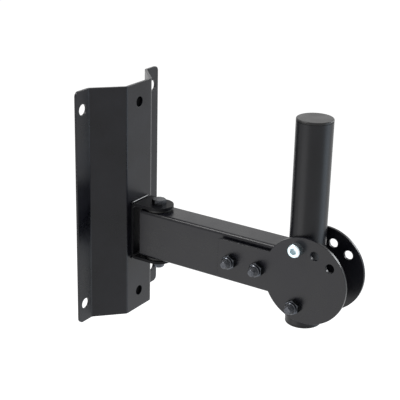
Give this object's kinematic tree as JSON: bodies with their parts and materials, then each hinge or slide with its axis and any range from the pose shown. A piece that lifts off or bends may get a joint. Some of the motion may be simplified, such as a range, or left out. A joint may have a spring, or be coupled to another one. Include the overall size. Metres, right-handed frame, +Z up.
{
  "type": "speaker wall bracket",
  "caption": "Wall bracket for a loudspeaker: folded hat-section wall plate, swivelling box-section arm and a round pole that tilts between two disc cheeks.",
  "frame": {"origin": "centre of the four wall holes, in the plane of the wall", "axes": "+X out of the wall along the arm, +Z up along the pole, Y across the plate; the plane y = 0 halves the bracket"},
  "size_m": [0.2755, 0.136, 0.246],
  "materials": {
    "black_powder_coat": "satin, fine powder-coat texture",
    "black_pole_paint": "semi-gloss",
    "black_zinc": "black-passivated zinc, low gloss",
    "bright_zinc": "bright zinc plate",
    "plain_steel": "plain turned",
    "nylon": "natural",
    "black_nylon": "matt",
    "cap_plastic": "moulded, satin"
  },
  "bodies": {
    "wall": {"wall_plate": "black_powder_coat", "swivel_yoke": "black_powder_coat", "swivel_bolt": "black_zinc", "swivel_nut": "black_zinc", "swivel_nut_insert": "nylon", "upper_thrust_washer": "black_nylon", "lower_thrust_washer": "black_nylon"},
    "arm": {"arm_tube": "black_powder_coat", "swivel_sleeve": "plain_steel", "near_cheek": "black_powder_coat", "far_cheek": "black_powder_coat", "near_rear_spacer": "black_powder_coat", "near_front_spacer": "black_powder_coat", "far_rear_spacer": "black_powder_coat", "far_front_spacer": "black_powder_coat", "rear_cheek_bolt": "black_zinc", "rear_cheek_nut": "black_zinc", "rear_cheek_nut_insert": "nylon", "front_cheek_bolt": "black_zinc", "front_cheek_nut": "black_zinc", "front_cheek_nut_insert": "nylon", "pivot_bolt": "black_zinc", "pivot_nut": "black_zinc", "pivot_nut_insert": "nylon"},
    "pole": {"pole_tube": "black_pole_paint", "pivot_sleeve": "plain_steel", "pole_top_cap": "cap_plastic", "pole_bottom_cap": "cap_plastic"},
    "lock_screw": {"tilt_lock_screw": "bright_zinc"}
  },
  "joints": [
    {"name": "arm_swivel", "type": "hinge", "parent": "wall", "child": "arm", "pos_m": [0.053, 0, -0.03025], "axis": [0, 0, 1], "range_deg": [-90, 90]},
    {"name": "pole_tilt", "type": "hinge", "parent": "arm", "child": "pole", "pos_m": [0.2235, 0, -0.05807], "axis": [0, 1, 0], "range_deg": [0, 36]},
    {"name": "lock_screw_slide", "type": "slide", "parent": "arm", "child": "lock_screw", "axis": [0, -1, 0], "range_m": [0, 0.05]}
  ]
}
